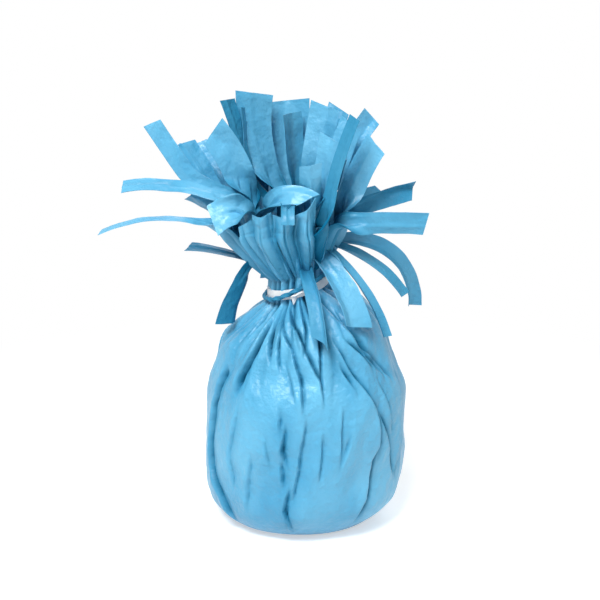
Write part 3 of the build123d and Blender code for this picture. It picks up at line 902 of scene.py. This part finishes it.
# Strand: radius of its ring, height and slope, size and number of the ring's waves, its own radius, number and share of
# its lobes, turns, tone and points along and around
STRAND_RING, STRAND_HEIGHT, STRAND_SLOPE = 10.7, 80.5, 0.5
STRAND_WAVE, STRAND_WAVES = 0.3, 5
STRAND_RADIUS, STRAND_LOBES, STRAND_LOBE_SHARE, STRAND_TURNS, STRAND_FOLD = 0.65, 3, 0.3, 7, 0.7
STRAND_ALONG, STRAND_AROUND = 200, 16


def band_rings():
    """Closed sections of the flat tie round the neck."""
    az = np.linspace(0, 2 * pi, TIE_POINTS, endpoint=False)
    wobble = sum(size * np.sin(times * az + phase) for size, times, phase in TIE_WOBBLES)
    rows = []
    for depth, high in TIE_SECTION:
        r = TIE_RADIUS + depth * TIE_THICKNESS + wobble
        x = r * np.cos(az)
        rows.append(np.stack([x - NECK_LEAN, r * np.sin(az), TIE_HEIGHT + TIE_SLOPE * x + high * TIE_WIDTH], axis=1))
    return np.stack(rows, axis=1)


def strand_rings():
    """Rings of the film strand, twisted about its path round the neck."""
    az = np.linspace(0, 2 * pi, STRAND_ALONG, endpoint=False)
    out = STRAND_RING + STRAND_WAVE * np.sin(STRAND_WAVES * az)
    x = out * np.cos(az)
    path = np.stack([x - NECK_LEAN, out * np.sin(az), STRAND_HEIGHT + STRAND_SLOPE * x], axis=1)
    along = unit(np.roll(path, -1, 0) - np.roll(path, 1, 0))
    side = unit(np.cross(along, np.array([0, 0, 1.0])))
    top = np.cross(side, along)
    rings = []
    for i in range(STRAND_ALONG):
        ring = []
        for j in range(STRAND_AROUND):
            t = 2 * pi * j / STRAND_AROUND
            twist = STRAND_TURNS * 2 * pi * i / STRAND_ALONG
            r = STRAND_RADIUS * (1 + STRAND_LOBE_SHARE * sin(STRAND_LOBES * (t + twist)))
            ring.append(path[i] + (side[i] * cos(t) + top[i] * sin(t)) * r)
        rings.append(ring)
    return np.array(rings)


def build_ties():
    tie = tube_object("paper_tie", band_rings(), PAPER, True)
    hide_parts("twist_tie")
    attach(tie, "weight")
    run = np.linspace(0, 1, TAIL_POINTS)[:, None]
    path = np.array(TAIL_ROOT) + run * np.array(TAIL_RUN) - run ** 2 * np.array(TAIL_SAG)
    across = np.repeat(np.array([TAIL_ACROSS]), TAIL_POINTS, 0)
    half, turn = np.full(TAIL_POINTS, TAIL_HALF), np.linspace(0, TAIL_TWIST, TAIL_POINTS)
    grid = ribbon_grid(path, across, half, turn, np.zeros(TAIL_POINTS), *TAIL_LOOK, TAIL_SEED)
    tail = sheet_object("tie_tail", grid, TAIL_THICKNESS, PAPER, np.zeros(grid.shape[:2]))
    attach(tail, "weight")
    strand = tube_object("film_strand", strand_rings(), STRIP_BLUE, True, STRAND_FOLD)
    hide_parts("neck_strand")
    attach(strand, "weight")


# Sand and bag

# Pouch: height of its underside, radii of a point on its base and of the base's flat, width and top of the round beyond
# it, points on that round, and the radius and the heights of the points up its side
POUCH_LOW, POUCH_MIDDLE, POUCH_FLAT = 2.0, 6, 11.5
POUCH_ROUND, POUCH_ROUND_TOP, POUCH_ROUND_POINTS = 15.3, 18, 12
POUCH_RADIUS = 26.8
POUCH_HEIGHTS = (22, 28, 34, 40, 43)

# Points around the core, the radius at its middle, how far the sand lies inside the pouch, and their ripple: height,
# size and shift
CORE_AROUND, CORE_CENTRE, SAND_INSET = 96, 0.4, 0.5
CORE_RIPPLE, CORE_RIPPLE_SIZE, CORE_RIPPLE_SHIFT = 0.2, 9, 3

# Heap: its foot, rise and radii. Tent: radius and height of the points from the pouch up to the tie
HEAP_FOOT, HEAP_RISE, HEAP_RADIUS = 43, 3.2, 27
HEAP_RADII = (24, 20, 16, 12, 8, 4, CORE_CENTRE)
TENT = ((25.2, 47), (20.4, 54), (15.4, 61), (10.6, 67), (6.2, 72), (4.6, 76), (4.4, 83), (CORE_CENTRE, 83.5))
TENT_COLLAR = 20


def pouch_outline(inset):
    """Radius and height of the points up the pouch, set in all round."""
    low, flat = POUCH_LOW + inset, POUCH_FLAT - inset
    rows = [(CORE_CENTRE, low), (POUCH_MIDDLE, low), (flat, low)]
    for turn in np.linspace(0, pi / 2, POUCH_ROUND_POINTS)[1:]:
        rows.append((flat + POUCH_ROUND * sin(turn), low + (POUCH_ROUND_TOP - low) * (1 - cos(turn))))
    return rows + [(POUCH_RADIUS - inset, z) for z in POUCH_HEIGHTS]


def core_grid(outline):
    """Slightly uneven points round the axis through an outline."""
    az = np.linspace(0, 2 * pi, CORE_AROUND, endpoint=False)[:, None]
    r, z = np.array(outline).T[:, None, :]
    grid = np.stack([r * np.cos(az), r * np.sin(az), np.broadcast_to(z, (CORE_AROUND, len(outline)))], axis=2)
    uneven = CORE_RIPPLE * ripple(grid / CORE_RIPPLE_SIZE + CORE_RIPPLE_SHIFT)
    return grid + normals_of(grid, True) * uneven[:, :, None]


def build_core():
    heap = [(r, HEAP_FOOT + HEAP_RISE * (1 - (r / HEAP_RADIUS) ** 2)) for r in HEAP_RADII]
    grid = core_grid(pouch_outline(SAND_INSET) + heap)
    sand = tube_object("sand_heap", np.swapaxes(grid, 0, 1), SAND, False)
    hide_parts("sand_fill")
    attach(sand, "weight")
    grid = core_grid(pouch_outline(0.0) + list(TENT))
    grid[:, :, 0] -= lean_at(grid[:, :, 2], TENT_COLLAR)
    bag = tube_object("sand_pouch", np.swapaxes(grid, 0, 1), BAG_CLEAR, False)
    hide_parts("sand_bag")
    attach(bag, "weight")


# Stage

# Lengths in metres; lamps as name, place, size and power
WHITE = (1, 1, 1, 1)
FLOOR_GREY = (0.82, 0.82, 0.82, 1)
FLOOR_GLOW = 0.5
FLOOR_HALF = 4
SHADOW_FROM, SHADOW_TO = 0.08, 0.22
WORLD_LIGHT = 0.22
LAMP_AIM = (0, 0, 0.07)
LAMPS = (
    ("key", (-0.22, -0.52, 0.78), 0.38, 9.8),
    ("fill", (0.62, -0.45, 0.40), 0.6, 1.0),
    ("back", (0.25, 0.75, 0.62), 0.6, 4.0),
)
CAMERA_AIM = (-0.0023, 0.0, 0.074)
CAMERA_AWAY = 0.542
CAMERA_RISE = 17
LENS, SENSOR = 100, 36


def shown_to(tree):
    """A node that gives 1 to camera, glossy and transmission rays, which show what they meet, and 0 to others."""
    rays = node(tree, "LightPath")
    seen = node(tree, "Math", operation="MAXIMUM")
    seen_too = node(tree, "Math", operation="MAXIMUM")
    wire(
        tree,
        (rays, "Is Camera Ray", seen, 0),
        (rays, "Is Glossy Ray", seen, 1),
        (seen, 0, seen_too, 0),
        (rays, "Is Transmission Ray", seen_too, 1),
    )
    return seen_too


def build_floor(scene):
    """A pale floor that shows a shadow near the weight and is plain white further off."""
    mesh = bpy.data.meshes.new("floor")
    corners = ((-1, -1), (1, -1), (1, 1), (-1, 1))
    mesh.from_pydata([(x * FLOOR_HALF, y * FLOOR_HALF, 0) for x, y in corners], [], [(0, 1, 2, 3)])
    floor = bpy.data.objects.new("floor", mesh)
    scene.collection.objects.link(floor)
    material = bpy.data.materials.new("floor_white")
    material.use_nodes = True
    tree = material.node_tree
    tree.nodes.remove(tree.nodes["Principled BSDF"])
    pale = node(tree, "BsdfDiffuse", {"Color": FLOOR_GREY})
    glow = node(tree, "Emission", {"Color": WHITE, "Strength": FLOOR_GLOW})
    white = node(tree, "Emission", {"Color": WHITE})
    both = node(tree, "AddShader")
    place = node(tree, "TexCoord")
    reach = node(tree, "VectorMath", operation="LENGTH")
    far = node(
        tree, "MapRange", {"From Min": SHADOW_FROM, "From Max": SHADOW_TO}, interpolation_type="SMOOTHSTEP"
    )
    fade = node(tree, "MixShader")
    pick = node(tree, "MixShader")
    wire(
        tree,
        (place, "Object", reach, 0),
        (reach, "Value", far, "Value"),
        (pale, 0, both, 0),
        (glow, 0, both, 1),
        (far, "Result", fade, 0),
        (both, 0, fade, 1),
        (white, 0, fade, 2),
        (shown_to(tree), 0, pick, 0),
        (pale, 0, pick, 1),
        (fade, 0, pick, 2),
        (pick, 0, tree.nodes["Material Output"], "Surface"),
    )
    mesh.materials.append(material)


def build_world(scene):
    """A white surround that lights the weight only a little."""
    world = bpy.data.worlds.new("studio")
    scene.world = world
    world.use_nodes = True
    tree = world.node_tree
    back = tree.nodes["Background"]
    back.inputs["Color"].default_value = WHITE
    level = node(tree, "MapRange", {"To Min": WORLD_LIGHT, "To Max": 1.0})
    wire(tree, (shown_to(tree), 0, level, "Value"), (level, "Result", back, "Strength"))


def look_at(obj, place, aim):
    obj.location = place
    obj.rotation_euler = (Vector(aim) - Vector(place)).to_track_quat("-Z", "Y").to_euler()


def build_stage():
    scene = bpy.context.scene
    scene.view_settings.view_transform = "Standard"
    build_floor(scene)
    build_world(scene)
    for name, place, size, power in LAMPS:
        light = bpy.data.lights.new(name, "AREA")
        light.size = size
        light.energy = power
        lamp = bpy.data.objects.new(name, light)
        scene.collection.objects.link(lamp)
        look_at(lamp, place, LAMP_AIM)
    camera_data = bpy.data.cameras.new("camera")
    camera_data.lens = LENS
    camera_data.sensor_width = SENSOR
    camera = bpy.data.objects.new("camera", camera_data)
    scene.collection.objects.link(camera)
    aim = np.array(CAMERA_AIM)
    look_at(camera, aim + CAMERA_AWAY * np.array([0, -cos(radians(CAMERA_RISE)), sin(radians(CAMERA_RISE))]), aim)
    scene.camera = camera


# Insets of the sheets and of the feet on them, points around and along each sheet, and where the feet begin as a share
# of the collar
OUTER_INSET, INNER_INSET = 0.0, 0.9
OUTER_FOOT_INSET, INNER_FOOT_INSET = 0.2, 0.7
OUTER_POINTS, INNER_POINTS = (480, 250), (360, 180)
OUTER_FOOT_START, INNER_FOOT_START = 0.05, 0.3

build_stage()
build_core()
outer_wrap = build_wrap(
    "outer_sheet", "outer_wrap", OUTER_STRIPS, OUTER_RIM, OUTER_COLLAR, OUTER_INSET, *OUTER_POINTS
)
inner_wrap = build_wrap(
    "inner_sheet", "inner_wrap", INNER_STRIPS, INNER_RIM, INNER_COLLAR, INNER_INSET, *INNER_POINTS
)
build_ties()
outer_strips = rim_strips(
    "outer", OUTER_STRIPS, OUTER_RIM, OUTER_COLLAR, OUTER_FOOT_INSET, OUTER_LENGTH, OUTER_FOOT_START, OUTER_SEED
)
inner_strips = rim_strips(
    "inner", INNER_STRIPS, INNER_RIM, INNER_COLLAR, INNER_FOOT_INSET, INNER_LENGTH, INNER_FOOT_START, INNER_SEED
)
loose = hanging_strips()
